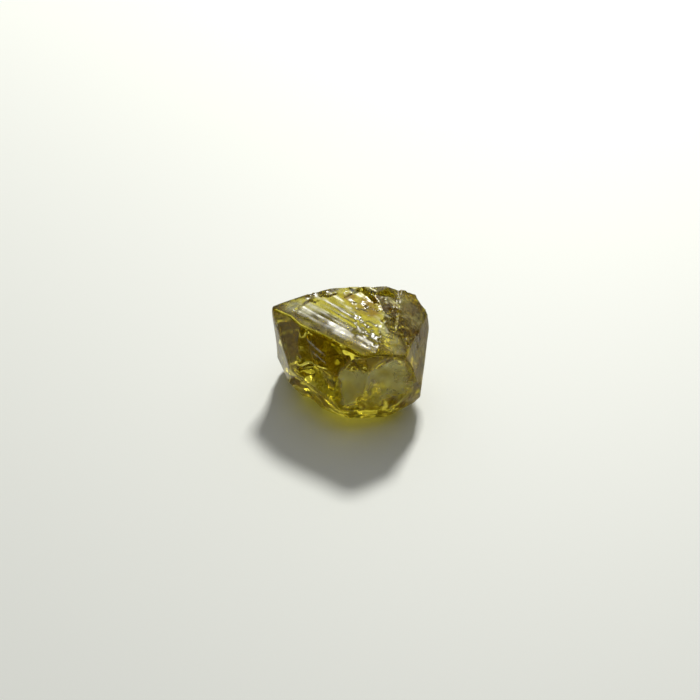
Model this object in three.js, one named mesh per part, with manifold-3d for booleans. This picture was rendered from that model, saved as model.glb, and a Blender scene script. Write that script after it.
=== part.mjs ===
// A rough diamond: one loose, broken crystal, about 6.5 mm wide, resting on its flat underside.
// Millimetres, +Z up. The origin is under the middle of the stone, on the surface it lies on.
// The front of the stone faces -Y and its pointed corner lies at -X.

import * as THREE from "three";
import Module from "manifold-3d";

const wasm = await Module();
wasm.setup();

// ---- Driving dimensions -------------------------------------------------------------------

const HEART = new THREE.Vector3(0, 0, 1.95); // the point that every facet is measured from
const MIDDLE = new THREE.Vector2(0.02, 0.587); // the middle of its box in the plan, the origin
const BLOCK = 20; // side of the cutting blocks, larger than the stone

// The crystal grew askew. It is set out upright, and then each point slides in one direction, by
// a share of its height above the heart along another.
const SLANT = {
  slide: { azimuth: 90, elevation: -38 },
  height: { azimuth: 90, elevation: 52 },
  share: 0.157,
};

// A facet lies square to a direction, at a distance from the heart. The direction is given as
// an azimuth round +Z from +X, and an elevation above the horizon, both in degrees.
const BODY_FACETS = [
  { name: "top", azimuth: -107, elevation: 77, distance: 1.9 },
  { name: "left brow", azimuth: -169, elevation: 71, distance: 2.51 },
  { name: "left panel", azimuth: -139, elevation: 14.3, distance: 2.01 },
  { name: "left strip", azimuth: -160, elevation: -5, distance: 2.48 },
  { name: "front left", azimuth: -124, elevation: 16.6, distance: 1.7 },
  { name: "front right", azimuth: -74, elevation: -1.3, distance: 2.05 },
  { name: "shoulder", azimuth: -33.6, elevation: 61, distance: 2.33 },
  { name: "block face", azimuth: -21, elevation: 56, distance: 2.48 },
  { name: "right side", azimuth: -20, elevation: 15.3, distance: 2.82 },
  { name: "right ridge", azimuth: -48, elevation: 5, distance: 2.71 },
  { name: "front band", azimuth: -83, elevation: -33, distance: 2.32 },
  { name: "right undercut", azimuth: -55, elevation: -13, distance: 2.57 },
  { name: "right keel", azimuth: -53, elevation: -45, distance: 2.82 },
  { name: "left undercut", azimuth: -134, elevation: -19, distance: 2.07 },
  { name: "left keel", azimuth: -144, elevation: -8, distance: 2.24 },
  { name: "front keel", azimuth: -121, elevation: -37, distance: 2.25 },
  { name: "lower left", azimuth: -140, elevation: -30, distance: 2.33 },
  { name: "lower left corner", azimuth: -165, elevation: -35, distance: 2.75 },
  { name: "left back", azimuth: 153.5, elevation: 0, distance: 3.42 },
  { name: "left back undercut", azimuth: 144.5, elevation: -58.5, distance: 3.05 },
  { name: "back left", azimuth: 110, elevation: 33, distance: 2.83 },
  { name: "back brow", azimuth: 90, elevation: 35, distance: 2.75 },
  { name: "back", azimuth: 94, elevation: 16, distance: 3 },
  { name: "back right", azimuth: 44.5, elevation: -12.5, distance: 2.85 },
  { name: "far side", azimuth: -7, elevation: -4, distance: 3.05 },
  { name: "far undercut", azimuth: 30.5, elevation: -48, distance: 2.52 },
  { name: "back undercut", azimuth: 60, elevation: -60, distance: 2.2 },
];

// Hollows with flat walls: what lies beyond all the facets of one hollow is cut away.
const HOLLOWS = [
  // the groove that parts the block on the right from the rest of the top
  [
    { name: "groove left wall", azimuth: -13.3, elevation: 45, distance: 2.5 },
    { name: "groove right wall", azimuth: -171, elevation: 55, distance: 0.36 },
  ],
  // the three-cornered break in front of the highest bump
  [
    { name: "break floor", azimuth: -8, elevation: 68.5, distance: 2.44 },
    { name: "bump front", azimuth: -70, elevation: 30, distance: 0.43 },
    { name: "groove right wall", azimuth: -171, elevation: 55, distance: 0.36 },
  ],
];

// Growth ledges climb the top towards an azimuth. A ledge has its riser at a distance along
// that azimuth, and runs across it from one end to the other. Its tread lies flatter than the
// top, touches the top at its lip, or is sunk a little below it.
const CLIMB_AZIMUTH = 50;
const TREAD = { azimuth: -92, elevation: 83 };
const LEDGES = [
  { riser: -0.46, lip: -0.72, from: -1.9, to: 0.7, turn: 1, sunk: 0.01 },
  { riser: -0.14, lip: -0.46, from: -2.0, to: 0.45, turn: 0, sunk: 0.03 },
  { riser: 0.02, lip: -0.12, from: -1.7, to: 0.6, turn: -1, sunk: 0.02 },
  { riser: 0.28, lip: 0.03, from: -2.1, to: 0.1, turn: -4, sunk: 0.01 },
  { riser: 0.5, lip: 0.26, from: -1.5, to: 0.55, turn: -12, sunk: 0.02 },
  { riser: 0.72, lip: 0.5, from: -2.0, to: -0.1, turn: -6, sunk: 0.01 },
  { riser: 1.02, lip: 0.74, from: -1.9, to: 0.2, turn: -9, sunk: 0.03 },
  { riser: 1.34, lip: 1.1, from: -1.05, to: -0.05, turn: -14, sunk: 0.1 },
];
const LEDGE_STEP = 0.22; // length of the short straight pieces that a ledge's edge is broken into
const LEDGE_WANDER = 0.03; // how far those pieces wander to either side
const LEDGE_SEED = 3;
const LEDGE_OPEN = 4; // how far a ledge's cut runs on past the lip, into the open
const LEDGE_FLARE = { from: -0.5, to: 0.4 }; // how far its two ends spread over that run
const LEDGE_CUT = 1; // height of the cut above the tread
const RISER_LEAN = 0.45; // how far a riser leans back for each millimetre of its height

// Shell-like scoops left by broken-off flakes: the middle of the scoop, where it faces, the half
// axes of its ellipsoid across, deep and high, and how deep it bites.
const SCOOPS = [
  { at: [0.12, -1.87, 2.0], azimuth: -101, elevation: 9, across: 1.9, deep: 1.7, high: 2.5, bite: 0.1 },
  { at: [1.57, -1.67, 1.75], azimuth: -71, elevation: 3, across: 2.3, deep: 1.6, high: 2.6, bite: 0.19 },
  { at: [0.2, -2.0, 1.0], azimuth: -85, elevation: -20, across: 0.7, deep: 0.5, high: 0.42, bite: 0.13 },
  { at: [-1.3, 2.0, 2.95], azimuth: 105, elevation: 20, across: 2.3, deep: 1.8, high: 1.7, bite: 0.2 },
  { at: [1.5, 2.45, 2.3], azimuth: 70, elevation: 28, across: 1.9, deep: 1.6, high: 2.2, bite: 0.22 },
  { at: [-2.6, 1.9, 1.95], azimuth: 150, elevation: 0, across: 1.6, deep: 1.4, high: 2.2, bite: 0.18 },
  { at: [2.95, 0.5, 1.05], azimuth: 5, elevation: -12, across: 1.6, deep: 1.2, high: 1.4, bite: 0.14 },
  { at: [-0.58, 0.61, 0.18], azimuth: 66.5, elevation: -13, across: 1.3, deep: 0.52, high: 0.97, bite: 0.27 },
  { at: [-1.5, -0.55, 0.1], azimuth: -140, elevation: -35, across: 1.2, deep: 0.8, high: 0.7, bite: 0.1 },
];
const SCOOP_DETAIL = 8; // how finely a scoop's ellipsoid is divided

// Rough patches: pits or crumbs scattered about a middle, along a line with its own azimuth.
const PATCHES = [
  // sparkling pits at the end of the ledges
  { kind: "pit", at: [0.78, -0.6], azimuth: -55, half: [0.85, 0.3], count: 50, size: [0.04, 0.09] },
  // pits by the front edge
  { kind: "pit", at: [0.75, -1.5], azimuth: -40, half: [0.55, 0.2], count: 18, size: [0.03, 0.06] },
  // the crumbled ridge between the top and the shoulder
  { kind: "crumb", at: [1.48, 0.25], azimuth: -18, half: [0.42, 0.05], count: 22, size: [0.05, 0.1] },
  // crumbs in the groove
  { kind: "crumb", at: [1.95, 1.0], azimuth: -95, half: [0.65, 0.12], count: 26, size: [0.05, 0.1] },
  // pits on the shoulder
  { kind: "pit", at: [1.7, -0.7], azimuth: -60, half: [0.7, 0.35], count: 22, size: [0.035, 0.07] },
  // crumbs behind the top
  { kind: "crumb", at: [-1.0, 1.45], azimuth: 0, half: [0.9, 0.12], count: 18, size: [0.04, 0.08] },
];

// A lump, for a crumb or a chip, is an octahedron stretched by chance along its three axes.
const LUMP_STRETCH = [
  [0.8, 1.5],
  [0.7, 1.1],
  [0.6, 0.9],
];

// Small breaks along the edges: chance directions within an elevation, of which those count that
// meet two facets within a distance of each other.
const CHIPS = { tries: 900, elevation: [-55, 80], apart: 0.02, size: [0.05, 0.15], seed: 11 };

// Three-cornered growth pits, spread over some facets by an azimuth and an elevation.
const TRIGONS = { perFacet: 9, spread: [28, 20], size: [0.07, 0.17], depth: 0.4, seed: 5 };
const TRIGON_FACETS = [
  "left panel",
  "block face",
  "right side",
  "left back",
  "back left",
  "back",
  "back right",
];

// ---- Solids -------------------------------------------------------------------------------

const NEARLY_ZERO = 1e-6;
const GRID = 1e-5; // corners that fall on the same point of this grid are one

function direction({ azimuth, elevation }) {
  const a = THREE.MathUtils.degToRad(azimuth);
  const e = THREE.MathUtils.degToRad(elevation);
  return new THREE.Vector3(Math.cos(e) * Math.cos(a), Math.cos(e) * Math.sin(a), Math.sin(e));
}

// A closed geometry as a solid that can be cut and joined.
function solid(geometry) {
  const source = geometry.getAttribute("position");
  const corners = geometry.index?.array ?? Array.from({ length: source.count }, (_, i) => i);
  const seen = new Map();
  const points = [];
  const triangles = [];
  for (const i of corners) {
    const point = [source.getX(i), source.getY(i), source.getZ(i)];
    const key = point.map((c) => Math.round(c / GRID)).join(",");
    if (!seen.has(key)) {
      seen.set(key, points.length / 3);
      points.push(...point);
    }
    triangles.push(seen.get(key));
  }
  return new wasm.Manifold(
    new wasm.Mesh({
      numProp: 3,
      vertProperties: new Float32Array(points),
      triVerts: new Uint32Array(triangles),
    }),
  );
}

// Turns a geometry so that its +Z points out along a direction, with its +X kept level.
function facing(geometry, out) {
  const level = new THREE.Vector3(-out.y, out.x, 0);
  if (level.length() < NEARLY_ZERO) level.set(1, 0, 0);
  level.normalize();
  const third = new THREE.Vector3().crossVectors(out, level);
  return geometry.applyMatrix4(new THREE.Matrix4().makeBasis(level, third, out));
}

// The block beyond a facet: everything that the facet cuts away.
function beyond(facet) {
  const out = direction(facet);
  const block = new THREE.BoxGeometry(BLOCK, BLOCK, BLOCK).translate(0, 0, BLOCK / 2);
  const at = HEART.clone().addScaledVector(out, facet.distance);
  return solid(facing(block, out).translate(at.x, at.y, at.z));
}

// Even chances between two limits, the same on every run (the mulberry32 generator).
function dice(seed) {
  let state = seed;
  return (low, high) => {
    state = (state + 0x6d2b79f5) | 0;
    let t = Math.imul(state ^ (state >>> 15), 1 | state);
    t = (t + Math.imul(t ^ (t >>> 7), 61 | t)) ^ t;
    return low + ((high - low) * ((t ^ (t >>> 14)) >>> 0)) / 4294967296;
  };
}

function geometryOf(manifold) {
  const mesh = manifold.getMesh();
  const geometry = new THREE.BufferGeometry();
  geometry.setAttribute("position", new THREE.BufferAttribute(mesh.vertProperties, 3));
  geometry.setIndex(new THREE.BufferAttribute(mesh.triVerts, 1));
  geometry.computeVertexNormals();
  return geometry;
}

// ---- Places on the surface ----------------------------------------------------------------

// How far the plain body reaches from the heart along a direction, facet by facet, nearest first.
function reaches(out) {
  return BODY_FACETS.map((facet) => ({ facet, towards: direction(facet).dot(out) }))
    .filter(({ towards }) => towards > NEARLY_ZERO)
    .map(({ facet, towards }) => ({ facet, reach: facet.distance / towards }))
    .sort((a, b) => a.reach - b.reach);
}

// Finds points on a stone's surface as it is now, with lines that come from outside.
class Surface {
  constructor(stone) {
    this.mesh = new THREE.Mesh(geometryOf(stone), new THREE.MeshBasicMaterial());
  }

  // The point where a line first meets the stone, if it does.
  firstMet(from, along) {
    return new THREE.Raycaster(from, along).intersectObject(this.mesh)[0]?.point;
  }

  // The point on the upper side over a place in the plan.
  over(x, y) {
    return this.firstMet(new THREE.Vector3(x, y, BLOCK), new THREE.Vector3(0, 0, -1));
  }

  // The outermost point in a direction from the heart.
  outermost(out) {
    return this.firstMet(HEART.clone().addScaledVector(out, BLOCK), out.clone().negate());
  }
}

// ---- What is cut from the body and what stands on it --------------------------------------

// The space over one tread: an outline with a wandering back edge, raised, leaned back along its
// riser, and dropped onto the tilted tread.
function ledgeCutter(surface, { riser, lip, from, to, turn, sunk }, chance) {
  const outline = new THREE.Shape();
  outline.moveTo(from + LEDGE_FLARE.from, -LEDGE_OPEN);
  outline.lineTo(from, riser);
  for (let along = from + LEDGE_STEP; along < to - LEDGE_STEP / 2; along += LEDGE_STEP) {
    outline.lineTo(along, riser + chance(-LEDGE_WANDER, LEDGE_WANDER));
  }
  outline.lineTo(to, riser);
  outline.lineTo(to + LEDGE_FLARE.to, -LEDGE_OPEN);
  const block = new THREE.ExtrudeGeometry(outline, { depth: LEDGE_CUT, bevelEnabled: false });
  const points = block.getAttribute("position");
  for (let i = 0; i < points.count; i++) {
    points.setY(i, points.getY(i) + RISER_LEAN * points.getZ(i));
  }
  const climb = THREE.MathUtils.degToRad(CLIMB_AZIMUTH + turn);
  const at = surface.over(lip * Math.cos(climb), lip * Math.sin(climb));
  block.rotateZ(climb - Math.PI / 2);
  const tread = direction(TREAD);
  for (let i = 0; i < points.count; i++) {
    const x = points.getX(i);
    const y = points.getY(i);
    const level = at.z - (tread.x * (x - at.x) + tread.y * (y - at.y)) / tread.z;
    points.setZ(i, points.getZ(i) + level - sunk);
  }
  return solid(block);
}

function scoopCutter({ at, azimuth, elevation, across, deep, high, bite }) {
  const out = direction({ azimuth, elevation });
  const ball = new THREE.IcosahedronGeometry(1, SCOOP_DETAIL).scale(across, high, deep);
  const centre = new THREE.Vector3(...at).addScaledVector(out, deep - bite);
  return solid(facing(ball, out).translate(centre.x, centre.y, centre.z));
}

function hollowCutter(facets) {
  return facets.map(beyond).reduce((cutter, block) => cutter.intersect(block));
}

// A small eight-sided lump, stretched and turned by chance.
function lump(at, size, chance) {
  const shape = new THREE.OctahedronGeometry(size, 0);
  shape.scale(...LUMP_STRETCH.map(([least, most]) => chance(least, most)));
  shape.rotateX(chance(0, Math.PI)).rotateY(chance(0, Math.PI)).rotateZ(chance(0, Math.PI));
  return solid(shape.translate(at.x, at.y, at.z));
}

function patchLumps(surface, { at, azimuth, half, count, size }, seed) {
  const chance = dice(seed);
  const turn = THREE.MathUtils.degToRad(azimuth);
  const lumps = [];
  for (let i = 0; i < count; i++) {
    const along = chance(-half[0], half[0]);
    const aside = chance(-half[1], half[1]);
    const x = at[0] + along * Math.cos(turn) - aside * Math.sin(turn);
    const y = at[1] + along * Math.sin(turn) + aside * Math.cos(turn);
    const place = surface.over(x, y);
    if (place) lumps.push(lump(place, chance(...size), chance));
  }
  return lumps;
}

// Chips: where a chance direction meets two facets at nearly the same distance, there is an edge.
function edgeChips(surface, { tries, elevation, apart, size, seed }) {
  const chance = dice(seed);
  const chips = [];
  for (let i = 0; i < tries; i++) {
    const out = direction({ azimuth: chance(-180, 180), elevation: chance(...elevation) });
    const [first, second] = reaches(out);
    if (second.reach - first.reach > apart) continue;
    chips.push(lump(surface.outermost(out), chance(...size), chance));
  }
  return chips;
}

// Trigons: shallow pyramids, sunk point inwards into a facet, whose bases have three corners.
function trigonPits(surface, { perFacet, spread, size, depth, seed }) {
  const chance = dice(seed);
  const pits = [];
  for (const facet of BODY_FACETS.filter(({ name }) => TRIGON_FACETS.includes(name))) {
    for (let i = 0; i < perFacet; i++) {
      const radius = chance(...size);
      const out = direction({
        azimuth: facet.azimuth + chance(-spread[0], spread[0]),
        elevation: facet.elevation + chance(-spread[1], spread[1]),
      });
      const [first] = reaches(out);
      if (first.facet !== facet) continue;
      const tall = 2 * depth * radius;
      const pit = new THREE.ConeGeometry(2 * radius, tall, 3).rotateX(-Math.PI / 2);
      const at = surface.outermost(out);
      pits.push(solid(facing(pit, direction(facet)).translate(at.x, at.y, at.z)));
    }
  }
  return pits;
}

// ---- The stone ----------------------------------------------------------------------------

function without(stone, cutters) {
  return cutters.reduce((left, cutter) => left.subtract(cutter), stone);
}

function joined(stone, lumps) {
  return lumps.reduce((all, one) => all.add(one), stone);
}

function plainBody() {
  const start = new THREE.BoxGeometry(BLOCK / 2, BLOCK / 2, BLOCK / 2);
  return without(solid(start.translate(0, 0, HEART.z)), BODY_FACETS.map(beyond));
}

function finishedStone() {
  const body = plainBody();
  const top = new Surface(body);
  const chance = dice(LEDGE_SEED);
  let stone = without(body, HOLLOWS.map(hollowCutter));
  stone = without(stone, LEDGES.map((ledge) => ledgeCutter(top, ledge, chance)));
  stone = without(stone, SCOOPS.map(scoopCutter));
  stone = without(stone, trigonPits(new Surface(stone), TRIGONS));
  stone = without(stone, edgeChips(new Surface(stone), CHIPS));
  PATCHES.forEach((patch, index) => {
    const lumps = patchLumps(new Surface(stone), patch, index + 1);
    stone = patch.kind === "pit" ? without(stone, lumps) : joined(stone, lumps);
  });
  return stone;
}

// The stone with its crystal slanted, cut off level along the ground.
function grounded(stone) {
  const slide = direction(SLANT.slide).multiplyScalar(SLANT.share);
  const height = direction(SLANT.height);
  const geometry = geometryOf(stone);
  const points = geometry.getAttribute("position");
  const point = new THREE.Vector3();
  for (let i = 0; i < points.count; i++) {
    point.fromBufferAttribute(points, i);
    point.addScaledVector(slide, point.clone().sub(HEART).dot(height));
    points.setXYZ(i, point.x, point.y, point.z);
  }
  const ground = new THREE.BoxGeometry(BLOCK, BLOCK, BLOCK).translate(0, 0, -BLOCK / 2);
  return solid(geometry).subtract(solid(ground));
}

const diamond = new THREE.Mesh(
  geometryOf(grounded(finishedStone())).translate(-MIDDLE.x, -MIDDLE.y, 0),
  new THREE.MeshStandardMaterial({ color: 0x8c8430, roughness: 0.08, metalness: 0 }),
);
diamond.name = "rough_diamond";

const group = new THREE.Group();
group.add(diamond);
export default group;
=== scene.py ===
# A rough diamond on a plain pale floor: the finish of its faces, its inner colour, light, camera.
# Lengths are millimetres, angles degrees and azimuths are counted round +Z from +X, until each
# mesh is scaled to metres. The stone's front faces -Y.
import itertools
import math

import bpy
import numpy as np
from mathutils import Matrix, Vector


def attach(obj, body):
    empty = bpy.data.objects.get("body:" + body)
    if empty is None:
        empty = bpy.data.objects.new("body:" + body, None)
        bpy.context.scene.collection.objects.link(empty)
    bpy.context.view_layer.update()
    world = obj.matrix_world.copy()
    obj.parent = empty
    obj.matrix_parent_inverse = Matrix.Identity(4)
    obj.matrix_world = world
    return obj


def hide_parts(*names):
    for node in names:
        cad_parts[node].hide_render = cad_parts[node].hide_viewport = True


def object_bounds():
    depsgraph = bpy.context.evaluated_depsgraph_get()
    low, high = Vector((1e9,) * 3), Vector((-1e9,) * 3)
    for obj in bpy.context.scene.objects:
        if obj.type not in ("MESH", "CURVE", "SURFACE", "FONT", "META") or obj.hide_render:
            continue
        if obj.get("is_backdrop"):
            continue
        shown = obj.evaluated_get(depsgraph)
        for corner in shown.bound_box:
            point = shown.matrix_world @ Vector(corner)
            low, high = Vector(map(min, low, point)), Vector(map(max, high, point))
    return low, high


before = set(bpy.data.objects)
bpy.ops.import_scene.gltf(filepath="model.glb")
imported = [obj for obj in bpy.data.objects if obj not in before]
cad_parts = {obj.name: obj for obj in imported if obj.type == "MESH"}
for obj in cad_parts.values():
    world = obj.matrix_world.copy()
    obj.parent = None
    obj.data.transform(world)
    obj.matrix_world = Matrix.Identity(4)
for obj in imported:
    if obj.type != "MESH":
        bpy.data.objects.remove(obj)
cad_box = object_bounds()

MM = 0.001  # metres in a millimetre


# ---- Helpers ----------------------------------------------------------------------------------

def direction(azimuth, elevation):
    a = math.radians(azimuth)
    e = math.radians(elevation)
    return Vector((math.cos(e) * math.cos(a), math.cos(e) * math.sin(a), math.sin(e)))


def smooth_step(values, start, end):
    """0 before start, 1 past end, and a smooth rise between them."""
    t = np.clip((values - start) / (end - start), 0, 1)
    return t * t * (3 - 2 * t)


LATTICE = 32  # side of the block of chance values that the noise repeats


def noise(points, seed):
    """Smooth noise from -1 to 1, with about one bump for each unit of length."""
    lattice = np.random.default_rng(seed).uniform(-1, 1, (LATTICE,) * 3)
    cell = np.floor(points).astype(int)
    part = points - cell
    part = part * part * (3 - 2 * part)
    total = np.zeros(len(points))
    for corner in itertools.product((0, 1), repeat=3):
        weight = np.prod(np.where(corner, part, 1 - part), axis=1)
        total += weight * lattice[tuple(((cell + corner) % LATTICE).T)]
    return total


def rough_noise(points, seed, octaves=3):
    """Noise with finer and weaker noise added to it."""
    total = np.zeros(len(points))
    for octave in range(octaves):
        total += noise(points * 2**octave, seed + octave) / 2**octave
    return total


def ragged(points, patches):
    """Rough noise of a strength, with patches about as wide as its wave."""
    return patches["strength"] * rough_noise(points / patches["wave"], patches["seed"])


DRIFT_SEEDS = (10, 20, 30)  # added to the patches' own seed, for the drift in x, y and z


def swirls(points, patches):
    """Smoky patches: ragged ones whose points are first moved by another noise."""
    drift = [noise(points / patches["wave"], patches["seed"] + i) for i in DRIFT_SEEDS]
    return ragged(points + patches["swirl"] * np.column_stack(drift), patches)


# ---- The fine mesh of the stone ---------------------------------------------------------------

FINE_DEPTH = 8  # the grid of the remesh has 2 to this power cells along each side
FINE_SCALE = 0.64  # share of that side which the stone fills


def fine_copy(node):
    """The CAD solid as a fine, even mesh in millimetres."""
    mesh = node.data.copy()
    mesh.transform(Matrix.Scale(1 / MM, 4))
    stone = bpy.data.objects.new("diamond", mesh)
    bpy.context.scene.collection.objects.link(stone)
    remesh = stone.modifiers.new("remesh", "REMESH")
    remesh.mode = "SHARP"
    remesh.octree_depth = FINE_DEPTH
    remesh.scale = FINE_SCALE
    remesh.use_remove_disconnected = True
    evaluated = stone.evaluated_get(bpy.context.evaluated_depsgraph_get())
    stone.data = bpy.data.meshes.new_from_object(evaluated)
    stone.modifiers.clear()
    stone.data.shade_smooth()
    return stone


def vectors(items, name):
    values = np.empty(len(items) * 3)
    items.foreach_get(name, values)
    return values.reshape(-1, 3)


def edge_ends(mesh):
    ends = np.empty(len(mesh.edges) * 2, dtype=int)
    mesh.edges.foreach_get("vertices", ends)
    return ends.reshape(-1, 2)


def neighbours_mean(values, ends):
    """For each point, the mean of the values at the points that it shares an edge with."""
    total = np.zeros_like(values)
    shared = np.bincount(ends.ravel(), minlength=len(values))
    for here, there in ((0, 1), (1, 0)):
        np.add.at(total, ends[:, here], values[ends[:, there]])
    return total / shared[:, None]


# ---- Zones of the surface ---------------------------------------------------------------------
# Each zone is a share from 0 to 1 at every point, by its place or the way that it faces.

def facing(normals, azimuth, elevation, inner, outer):
    """1 where the surface faces within the inner angle of a direction, 0 past the outer one."""
    towards = normals @ np.array(direction(azimuth, elevation))
    return smooth_step(towards, math.cos(math.radians(outer)), math.cos(math.radians(inner)))


def along_and_aside(points, azimuth):
    """How far each point lies along a level direction, and how far to the left of it."""
    a = math.radians(azimuth)
    along = points[:, 0] * math.cos(a) + points[:, 1] * math.sin(a)
    aside = points[:, 1] * math.cos(a) - points[:, 0] * math.sin(a)
    return along, aside


def oval(points, at, azimuth, half):
    """How far out each point lies from the middle of an oval in the plan, 1 on the oval itself."""
    along, aside = along_and_aside(points - np.array([*at, 0]), azimuth)
    return np.hypot(along / half[0], aside / half[1])


def between(values, low, high, fade):
    """1 from low to high, fading to 0 outside them."""
    return smooth_step(values, low - fade, low) * smooth_step(-values, -high - fade, -high)


PATCH_CORE = 0.55  # how far out a patch is whole, as a share of its oval


def patch(points, at, azimuth, half):
    """1 in the middle of an oval in the plan, fading to 0 at its edge."""
    return 1 - smooth_step(oval(points, at, azimuth, half), PATCH_CORE, 1)


def shared_patch(points, row):
    """The patch that a row of a table describes, times its share."""
    return row["share"] * patch(points, row["at"], row["azimuth"], row["half"])


# The direction that each zone faces, and how far from it the zone starts to fade and ends.
FACINGS = {
    "top": {"azimuth": -100, "elevation": 85, "inner": 16, "outer": 30},
    "shoulder": {"azimuth": -22, "elevation": 63, "inner": 9, "outer": 16},
    "block": {"azimuth": -18, "elevation": 55, "inner": 20, "outer": 35},
    "left panel": {"azimuth": -145, "elevation": 17, "inner": 9, "outer": 14},
    "window": {"azimuth": -127, "elevation": 23, "inner": 5, "outer": 12},
    "front": {"azimuth": -80, "elevation": 5, "inner": 40, "outer": 50},
    "right": {"azimuth": -18, "elevation": 17, "inner": 14, "outer": 22},
    "feather": {"azimuth": 68, "elevation": -33, "inner": 30, "outer": 42},
    "behind": {"azimuth": 90, "elevation": 10, "inner": 50, "outer": 75},
}
UPWARD = (0, 0.3)  # the upward part of a normal where the zone starts, and where it is whole
DOWNWARD = (0.1, 0.4)  # the same for the downward part

PITTED = {"at": (0.72, -0.92), "azimuth": -58, "half": (1.35, 0.55)}
CRUMPLED = {"at": (0.75, 0.53), "azimuth": -30, "half": (1.1, 0.8)}
BLOCK = {"at": (2.6, 0.53), "azimuth": 80, "half": (2.6, 0.75)}  # on the right, past the groove
FEATHER = {"low": -0.62, "high": -0.12, "fade": 0.08}  # a strip behind, by x

# The front is frosted where flakes broke off, below a wavering line: its height by x, and the
# x where the frost begins on the left.
FLAKED = {"x": (-0.5, 0.6, 1.7), "z": (2.8, 2.76, 3.08), "left": -0.45, "fade": 0.1}
FLAKED_EDGE = {"strength": 0.08, "wave": 0.4, "seed": 17}

# Two round lobes side by side on the front, where the frost is thickest, by x and z.
LOBES = [
    {"x": 0.06, "z": 2.15, "half": (0.65, 0.8)},
    {"x": 1.65, "z": 2.25, "half": (0.75, 1.0)},
]
LOBE_FADE = (0.6, 1.2)  # how far out a lobe starts to fade and ends, as a share of its oval
LOBE_EDGE = {"strength": 0.35, "wave": 0.5, "seed": 19}


def flaked_share(points):
    waver = ragged(points, FLAKED_EDGE)
    under = np.interp(points[:, 0], FLAKED["x"], FLAKED["z"]) - points[:, 2] + waver
    right_of = points[:, 0] - FLAKED["left"] + waver
    return smooth_step(np.minimum(under, right_of), 0, FLAKED["fade"])


def lobe_share(points):
    waver = ragged(points, LOBE_EDGE)
    share = np.zeros(len(points))
    for row in LOBES:
        across, up = row["half"]
        out = np.hypot((points[:, 0] - row["x"]) / across, (points[:, 2] - row["z"]) / up)
        share = np.maximum(share, 1 - smooth_step(out + waver, *LOBE_FADE))
    return share


def zones_of(points, normals):
    zones = {name: facing(normals, **row) for name, row in FACINGS.items()}
    block = patch(points, **BLOCK)
    zones["all"] = np.ones(len(points))
    zones["upward"] = smooth_step(normals[:, 2], *UPWARD)
    zones["under"] = smooth_step(-normals[:, 2], *DOWNWARD)
    zones["pitted"] = zones["top"] * patch(points, **PITTED)
    zones["crumpled"] = zones["top"] * patch(points, **CRUMPLED)
    zones["shoulder"] *= 1 - block
    zones["block"] *= block
    zones["front"] *= flaked_share(points)
    zones["lobes"] = zones["front"] * lobe_share(points)
    zones["feather"] *= between(points[:, 0], **FEATHER)
    return zones


# ---- Relief -----------------------------------------------------------------------------------
# What is finer than the forms of the solid. Each grain is noise in one zone, with bumps of a
# height, as long as "along" on a level azimuth and as wide as "across".

GRAINS = [
    {"zone": "all", "height": 0.012, "azimuth": 0, "along": 0.9, "across": 0.9, "seed": 31},
    {"zone": "top", "height": 0.008, "azimuth": -40, "along": 1.6, "across": 0.16, "seed": 21},
    {"zone": "pitted", "height": 0.016, "azimuth": 0, "along": 0.14, "across": 0.12, "seed": 81},
    {"zone": "crumpled", "height": 0.03, "azimuth": -35, "along": 0.4, "across": 0.22, "seed": 82},
    {"zone": "crumpled", "height": 0.012, "azimuth": -40, "along": 0.14, "across": 0.1, "seed": 83},
    {"zone": "shoulder", "height": 0.02, "azimuth": 10, "along": 0.6, "across": 0.17, "seed": 61},
    {"zone": "block", "height": 0.03, "azimuth": 0, "along": 0.34, "across": 0.3, "seed": 63},
    {"zone": "block", "height": 0.012, "azimuth": -50, "along": 0.16, "across": 0.1, "seed": 64},
    {"zone": "right", "height": 0.008, "azimuth": -80, "along": 0.3, "across": 0.5, "seed": 91},
    {"zone": "front", "height": 0.03, "azimuth": 0, "along": 0.5, "across": 0.5, "seed": 96},
    {"zone": "shoulder", "height": 0.008, "azimuth": 0, "along": 0.14, "across": 0.1, "seed": 62},
    {"zone": "under", "height": 0.028, "azimuth": 0, "along": 0.6, "across": 0.6, "seed": 41},
    {"zone": "window", "height": 0.006, "azimuth": 0, "along": 0.5, "across": 0.3, "seed": 97},
    {"zone": "feather", "height": 0.03, "azimuth": 70, "along": 0.16, "across": 0.3, "seed": 43},
    {"zone": "behind", "height": 0.014, "azimuth": 0, "along": 0.9, "across": 0.9, "seed": 51},
]
GRAIN_OCTAVES = 2

# Low swellings of the top, on which the light glances.
SWELLINGS = [
    {"at": (-0.75, -1.22), "azimuth": -40, "half": (0.5, 0.22), "height": 0.05},
    {"at": (0.45, -2.1), "azimuth": -40, "half": (0.4, 0.3), "height": 0.07},
    {"at": (0.3, 1.0), "azimuth": -30, "half": (0.45, 0.16), "height": 0.05},
]


def grain(points, azimuth, along, across, seed):
    run, side = along_and_aside(points, azimuth)
    stretched = np.column_stack((run / along, side / across, points[:, 2] / along))
    return rough_noise(stretched, seed, GRAIN_OCTAVES)


def relief(points, zones):
    height = np.zeros(len(points))
    for row in GRAINS:
        shape = grain(points, row["azimuth"], row["along"], row["across"], row["seed"])
        height += row["height"] * zones[row["zone"]] * shape
    for row in SWELLINGS:
        out = oval(points, row["at"], row["azimuth"], row["half"])
        height += row["height"] * zones["top"] * np.exp(-out * out / 2)
    return height


# ---- Frost: how rough the polish is -----------------------------------------------------------
# The roughness of each zone. A later zone covers the earlier ones.

FROST = {
    "all": 0.05,
    "top": 0.26,
    "pitted": 0.25,
    "crumpled": 0.2,
    "shoulder": 0.3,
    "block": 0.05,
    "left panel": 0.12,
    "window": 0.02,
    "front": 0.16,
    "lobes": 0.38,
    "right": 0.2,
    "under": 0.05,
    "behind": 0.1,
}
FROST_PATCHES = {"strength": 0.5, "wave": 0.35, "swirl": 0.25, "seed": 71}


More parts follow.
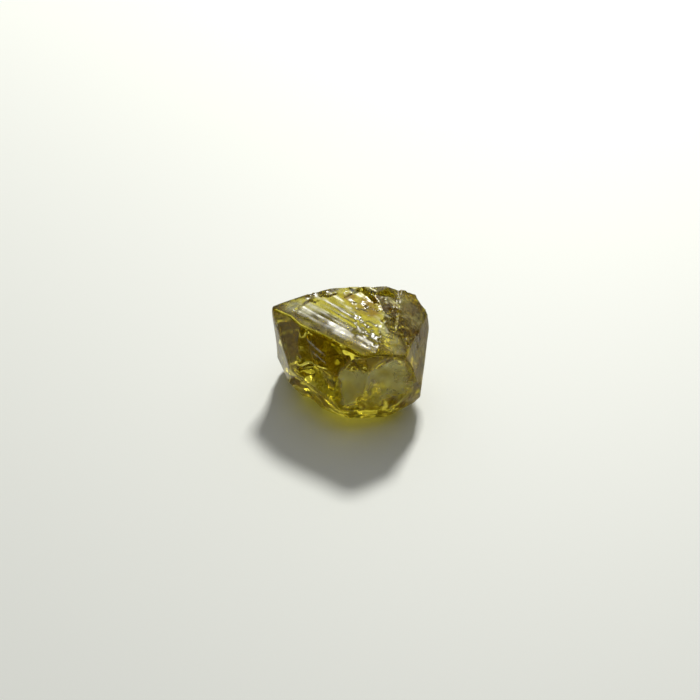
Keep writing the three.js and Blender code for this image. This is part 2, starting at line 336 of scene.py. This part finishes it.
def frost_of(points, zones):
    frost = np.zeros(len(points))
    for name, rough in FROST.items():
        frost += zones[name] * (rough - frost)
    return np.clip(frost * (1 + swirls(points, FROST_PATCHES)), 0, 1)


# ---- Stain and painted shade: a brown or olive film -------------------------------------------
# How much of it lies on spots in the breaks and the groove, and over whole zones, where part of it
# is painted shade.

STAINS = [
    {"at": (0.0, 0.95), "azimuth": -20, "half": (0.55, 0.3), "share": 0.8},
    {"at": (1.35, 0.4), "azimuth": -55, "half": (0.8, 0.4), "share": 0.9},
    {"at": (1.8, 0.2), "azimuth": -75, "half": (1.0, 0.35), "share": 0.6},
    {"at": (2.6, 0.3), "azimuth": -80, "half": (1.4, 0.6), "share": 0.6},
    {"at": (0.6, 0.35), "azimuth": -45, "half": (1.2, 0.65), "share": 0.75},
]
# Over whole zones: an olive tint on the front, the lobes, the shoulder and the top; on the right
# side, the left panel and the underside a browner share is painted shade that darkens them.
ZONE_STAINS_AND_SHADE = {
    "front": 0.1,
    "lobes": 0.3,
    "right": 0.6,
    "shoulder": 0.2,
    "top": 0.15,
    "left panel": 0.45,
    "under": 0.3,
}
STAIN_AND_SHADE_PATCHES = {"strength": 0.5, "wave": 0.3, "seed": 85}


def stain_and_shade_of(points, zones):
    stain_and_shade = np.zeros(len(points))
    for row in STAINS:
        stain_and_shade = np.maximum(stain_and_shade, shared_patch(points, row))
    stain_and_shade *= zones["upward"]
    # The zone shares, which on the right side, the left panel and the underside are painted shade.
    for name, share in ZONE_STAINS_AND_SHADE.items():
        stain_and_shade = np.maximum(stain_and_shade, share * zones[name])
    return np.clip(stain_and_shade * (1 + ragged(points, STAIN_AND_SHADE_PATCHES)), 0, 1)


# ---- Milk and painted light: a whitish film on crests, in breaks, behind and on the frosted front ---

# On the lobes the milk is the frost's own; on the feather strip behind, a whitish film paints the
# light from behind that shows through the stone.
ZONE_MILK_AND_LIGHT = {"lobes": 0.42, "feather": 0.4}
# Painted reflections of the sky and painted glints: whitish lines along the ledges of the top, and
# patches on the top, the breaks and the block.
SHEEN_CRESTS = [
    {"at": (-0.67, -0.09), "azimuth": -41, "half": (1.0, 0.06), "share": 0.6},
    {"at": (-0.55, 0.08), "azimuth": -41, "half": (0.85, 0.05), "share": 0.4},
    {"at": (-0.2, 0.42), "azimuth": -53, "half": (0.9, 0.05), "share": 0.35},
    {"at": (0.35, 1.08), "azimuth": -36, "half": (0.56, 0.14), "share": 0.8},
    {"at": (1.35, -1.05), "azimuth": -70, "half": (0.55, 0.22), "share": 0.5},
    {"at": (1.26, -0.17), "azimuth": -18, "half": (0.45, 0.08), "share": 0.5},
    {"at": (1.78, 0.7), "azimuth": -51, "half": (0.45, 0.16), "share": 0.6},
    {"at": (-1.9, 0.45), "azimuth": -15, "half": (1.1, 0.5), "share": 0.25},
    {"at": (2.45, 0.5), "azimuth": -65, "half": (1.1, 0.6), "share": 0.16},
    {"at": (1.7, -1.6), "azimuth": -60, "half": (0.7, 0.5), "share": 0.16},
]
HIGHLIGHT_STREAKS = [  # painted highlights on the left front face, by x and z
    {"at": (-1.41, 3.03), "azimuth": -21, "half": (0.5, 0.05), "share": 0.5},
    {"at": (-1.27, 2.73), "azimuth": -19, "half": (0.35, 0.04), "share": 0.4},
]
# Ragged patches of the painted reflections, highlights and light from behind.
PAINTED_LIGHT_PATCHES = {"strength": 0.7, "wave": 0.12, "swirl": 0.1, "seed": 121}
SMOKE_PATCHES = {"strength": 0.8, "wave": 0.4, "swirl": 0.35, "seed": 151}


def milk_and_light_of(points, zones):
    # The painted light from behind on the feather strip, then the painted reflections and
    # highlights of the crests and streaks.
    milk_and_painted_light = ZONE_MILK_AND_LIGHT["feather"] * zones["feather"]
    for row in SHEEN_CRESTS:
        milk_and_painted_light = np.maximum(milk_and_painted_light, shared_patch(points, row) * zones["upward"])
    for row in HIGHLIGHT_STREAKS:
        milk_and_painted_light = np.maximum(milk_and_painted_light, shared_patch(points[:, (0, 2, 1)], row) * zones["window"])
    smoke = ZONE_MILK_AND_LIGHT["lobes"] * zones["lobes"] * (1 + swirls(points, SMOKE_PATCHES))
    milk_and_painted_light = np.maximum(milk_and_painted_light * (1 + swirls(points, PAINTED_LIGHT_PATCHES)), smoke)
    return np.clip(milk_and_painted_light, 0, 1)


# ---- Making the stone -------------------------------------------------------------------------

SOFTENING = {"everywhere": 3, "off the top": 12}  # passes that round the edges a little
SOFTENING_STEP = 0.5  # how far a pass moves a point towards the mean of its neighbours


def soften(mesh):
    """Rounds the edges of the mesh, and returns its points."""
    points = vectors(mesh.vertices, "co")
    ends = edge_ends(mesh)
    top = zones_of(points, vectors(mesh.vertex_normals, "vector"))["top"][:, None]
    for share, passes in ((1, SOFTENING["everywhere"]), (1 - top, SOFTENING["off the top"])):
        for _ in range(passes):
            towards_mean = neighbours_mean(points, ends) - points
            points = points + share * SOFTENING_STEP * towards_mean
    mesh.vertices.foreach_set("co", points.ravel())
    return points


def make_stone():
    stone = fine_copy(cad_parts["rough_diamond"])
    mesh = stone.data
    points = soften(mesh)
    normals = vectors(mesh.vertex_normals, "vector")
    zones = zones_of(points, normals)
    moved = points + normals * relief(points, zones)[:, None]
    moved[:, 2] = np.maximum(moved[:, 2], points[:, 2].min())
    mesh.vertices.foreach_set("co", moved.ravel())
    # Colour films: the stain paints shade on the right side, the left panel and the underside, and
    # the milk paints reflections, highlights and light from behind, besides the frost's own
    # milkiness.
    films = {
        "frost": frost_of(points, zones),
        "stain_and_shade": stain_and_shade_of(points, zones),
        "milk_and_painted_light": milk_and_light_of(points, zones),
    }
    for name, values in films.items():
        mesh.attributes.new(name, "FLOAT", "POINT").data.foreach_set("value", values)
    mesh.transform(Matrix.Scale(MM, 4))
    mesh.materials.clear()
    mesh.materials.append(diamond_material())
    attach(stone, "root")
    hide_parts("rough_diamond")


IOR = 2.42
SPECULAR_TINT = (0.09, 0.09, 0.09, 1)  # dims the reflections, except at a glancing angle
# What the stone takes out of the light, the density being for each metre of its path.
ABSORPTION = {"color": (0.872, 0.822, 0.06, 1), "density": 500}
CLEAR_COLOR = (1, 1, 1, 1)
OLIVE_COLOR = (0.95, 0.92, 0.35, 1)
OLIVE_STOP = 0.2  # how much of the stain and painted shade looks olive; more of it looks brown
# Brown of the stains, which also darkens the right side, the left panel and the underside as
# painted shade.
STAIN_AND_SHADE_COLOR = (0.35, 0.2, 0.1, 1)
# Bluish white, of the frost's own milkiness and of the painted reflections, highlights and light
# from behind.
MILK_AND_LIGHT_COLOR = (0.86, 0.93, 1, 1)
WHITENING = {"from": 0.7, "to": 1.1}  # less milk and painted light than this keeps the colour of the stain and painted shade


def film(nodes, name):
    """A value that the stone's mesh holds at its points."""
    attribute = nodes.new("ShaderNodeAttribute")
    attribute.attribute_name = name
    return attribute.outputs["Fac"]


def opposite(nodes, links, value):
    """1 less the value."""
    rest = nodes.new("ShaderNodeMath")
    rest.operation = "SUBTRACT"
    rest.inputs[0].default_value = 1
    links.new(value, rest.inputs[1])
    return rest.outputs["Value"]


def film_color(nodes, links, stain_and_shade, milk_and_painted_light):
    """Clear, olive or brown by the stain and painted shade, and whiter where there is much milk and
    painted light.
    """
    stain_and_shade_tint = nodes.new("ShaderNodeValToRGB")
    stain_and_shade_tint.color_ramp.elements[0].color = CLEAR_COLOR
    stain_and_shade_tint.color_ramp.elements.new(OLIVE_STOP).color = OLIVE_COLOR
    stain_and_shade_tint.color_ramp.elements[2].color = STAIN_AND_SHADE_COLOR
    links.new(stain_and_shade, stain_and_shade_tint.inputs["Fac"])
    whitening = nodes.new("ShaderNodeMapRange")
    whitening.inputs["From Min"].default_value = WHITENING["from"]
    whitening.inputs["From Max"].default_value = WHITENING["to"]
    links.new(milk_and_painted_light, whitening.inputs["Value"])
    whitened = nodes.new("ShaderNodeMix")
    whitened.data_type = "RGBA"
    whitened.inputs["B"].default_value = MILK_AND_LIGHT_COLOR
    links.new(whitening.outputs["Result"], whitened.inputs["Factor"])
    links.new(stain_and_shade_tint.outputs["Color"], whitened.inputs["A"])
    return whitened.outputs["Result"]


def diamond_material():
    material = bpy.data.materials.new("diamond")
    material.use_nodes = True
    nodes = material.node_tree.nodes
    links = material.node_tree.links
    surface = nodes["Principled BSDF"]
    surface.inputs["IOR"].default_value = IOR
    surface.inputs["Specular Tint"].default_value = SPECULAR_TINT
    # The stain film carries painted shade on the right side, the left panel and the underside; the
    # milk film carries painted reflections, highlights and light from behind, besides the frost's
    # own milkiness.
    milk_and_painted_light = film(nodes, "milk_and_painted_light")
    color = film_color(nodes, links, film(nodes, "stain_and_shade"), milk_and_painted_light)
    links.new(color, surface.inputs["Base Color"])
    links.new(film(nodes, "frost"), surface.inputs["Roughness"])
    # Less transmission under the milk, so that its whitish colour shows: the frost's milkiness and
    # the painted reflections, highlights and light from behind.
    links.new(opposite(nodes, links, milk_and_painted_light), surface.inputs["Transmission Weight"])
    inside = nodes.new("ShaderNodeVolumeAbsorption")
    inside.inputs["Color"].default_value = ABSORPTION["color"]
    inside.inputs["Density"].default_value = ABSORPTION["density"]
    links.new(inside.outputs["Volume"], nodes["Material Output"].inputs["Volume"])
    return material


# ---- Floor, light and camera ------------------------------------------------------------------

FLOOR_HALF = 1500  # half a side of the floor
FLOOR_GAP = 0.01  # the floor lies this far under the stone
FLOOR_COLOR = (0.84, 0.85, 0.82, 1)
FLOOR_ROUGHNESS = 0.6


def make_floor():
    half = FLOOR_HALF * MM
    mesh = bpy.data.meshes.new("floor")
    corners = [(-half, -half), (half, -half), (half, half), (-half, half)]
    mesh.from_pydata([(x, y, -FLOOR_GAP * MM) for x, y in corners], [], [(0, 1, 2, 3)])
    floor = bpy.data.objects.new("floor", mesh)
    bpy.context.scene.collection.objects.link(floor)
    material = bpy.data.materials.new("floor")
    material.use_nodes = True
    surface = material.node_tree.nodes["Principled BSDF"]
    surface.inputs["Base Color"].default_value = FLOOR_COLOR
    surface.inputs["Roughness"].default_value = FLOOR_ROUGHNESS
    mesh.materials.append(material)
    floor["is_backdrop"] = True


# The key is a lamp above and behind the stone. Its radiance is in watts per square metre and
# steradian.
KEY_COLOR = (1, 1, 0.94)
KEY = {"azimuth": 80, "elevation": 40, "distance": 160, "size": (24, 20), "radiance": 162}
GLOW = {"azimuth": 85, "elevation": 45, "inner": 25, "outer": 70, "bright": 0.6, "dim": 0.03}
SKY_COLOR = (0.96, 0.97, 0.95, 1)


def make_key():
    out = direction(KEY["azimuth"], KEY["elevation"])
    light = bpy.data.lights.new("key", "AREA")
    light.color = KEY_COLOR
    light.shape = "RECTANGLE"
    light.size, light.size_y = (side * MM for side in KEY["size"])
    light.energy = KEY["radiance"] * math.pi * light.size * light.size_y
    lamp = bpy.data.objects.new("key", light)
    lamp.location = out * KEY["distance"] * MM
    lamp.rotation_mode = "QUATERNION"
    lamp.rotation_quaternion = out.to_track_quat("Z", "Y")
    bpy.context.scene.collection.objects.link(lamp)


def make_world():
    """A dim room, bright in a soft round patch behind the stone."""
    world = bpy.data.worlds.new("world")
    bpy.context.scene.world = world
    world.use_nodes = True
    nodes = world.node_tree.nodes
    links = world.node_tree.links
    place = nodes.new("ShaderNodeTexCoord")
    towards = nodes.new("ShaderNodeVectorMath")
    towards.operation = "DOT_PRODUCT"
    towards.inputs[1].default_value = direction(GLOW["azimuth"], GLOW["elevation"])
    links.new(place.outputs["Generated"], towards.inputs[0])
    fade = nodes.new("ShaderNodeMapRange")
    fade.interpolation_type = "SMOOTHSTEP"
    fade.inputs["From Min"].default_value = math.cos(math.radians(GLOW["outer"]))
    fade.inputs["From Max"].default_value = math.cos(math.radians(GLOW["inner"]))
    fade.inputs["To Min"].default_value = GLOW["dim"]
    fade.inputs["To Max"].default_value = GLOW["bright"]
    links.new(towards.outputs["Value"], fade.inputs["Value"])
    sky = nodes["Background"]
    sky.inputs["Color"].default_value = SKY_COLOR
    links.new(fade.outputs["Result"], sky.inputs["Strength"])


CAMERA = {"azimuth": -90, "elevation": 38, "distance": 95.2, "target": (-0.02, -0.587, 2.32)}
LENS = 120  # focal length
SENSOR = 36
SEEN = (1, 10000)  # the nearest and the farthest that the camera sees


def make_camera():
    data = bpy.data.cameras.new("camera")
    data.lens = LENS
    data.sensor_width = SENSOR
    data.clip_start, data.clip_end = (reach * MM for reach in SEEN)
    camera = bpy.data.objects.new("camera", data)
    bpy.context.scene.collection.objects.link(camera)
    back = direction(CAMERA["azimuth"], CAMERA["elevation"])
    camera.location = (Vector(CAMERA["target"]) + back * CAMERA["distance"]) * MM
    camera.rotation_mode = "QUATERNION"
    camera.rotation_quaternion = back.to_track_quat("Z", "Y")
    bpy.context.scene.camera = camera


BOUNCES = 32  # light is thrown back and forth many times inside the stone


def set_light_paths():
    scene = bpy.context.scene
    scene.view_settings.view_transform = "Standard"
    scene.cycles.max_bounces = BOUNCES
    scene.cycles.glossy_bounces = BOUNCES
    scene.cycles.transmission_bounces = BOUNCES
    scene.cycles.transparent_max_bounces = BOUNCES


make_camera()
make_stone()
make_floor()
make_key()
make_world()
set_light_paths()

bpy.context.view_layer.update()
size = {"cad": cad_box, "visual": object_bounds()}
size = {name: [[float(v) for v in corner] for corner in box] for name, box in size.items()}
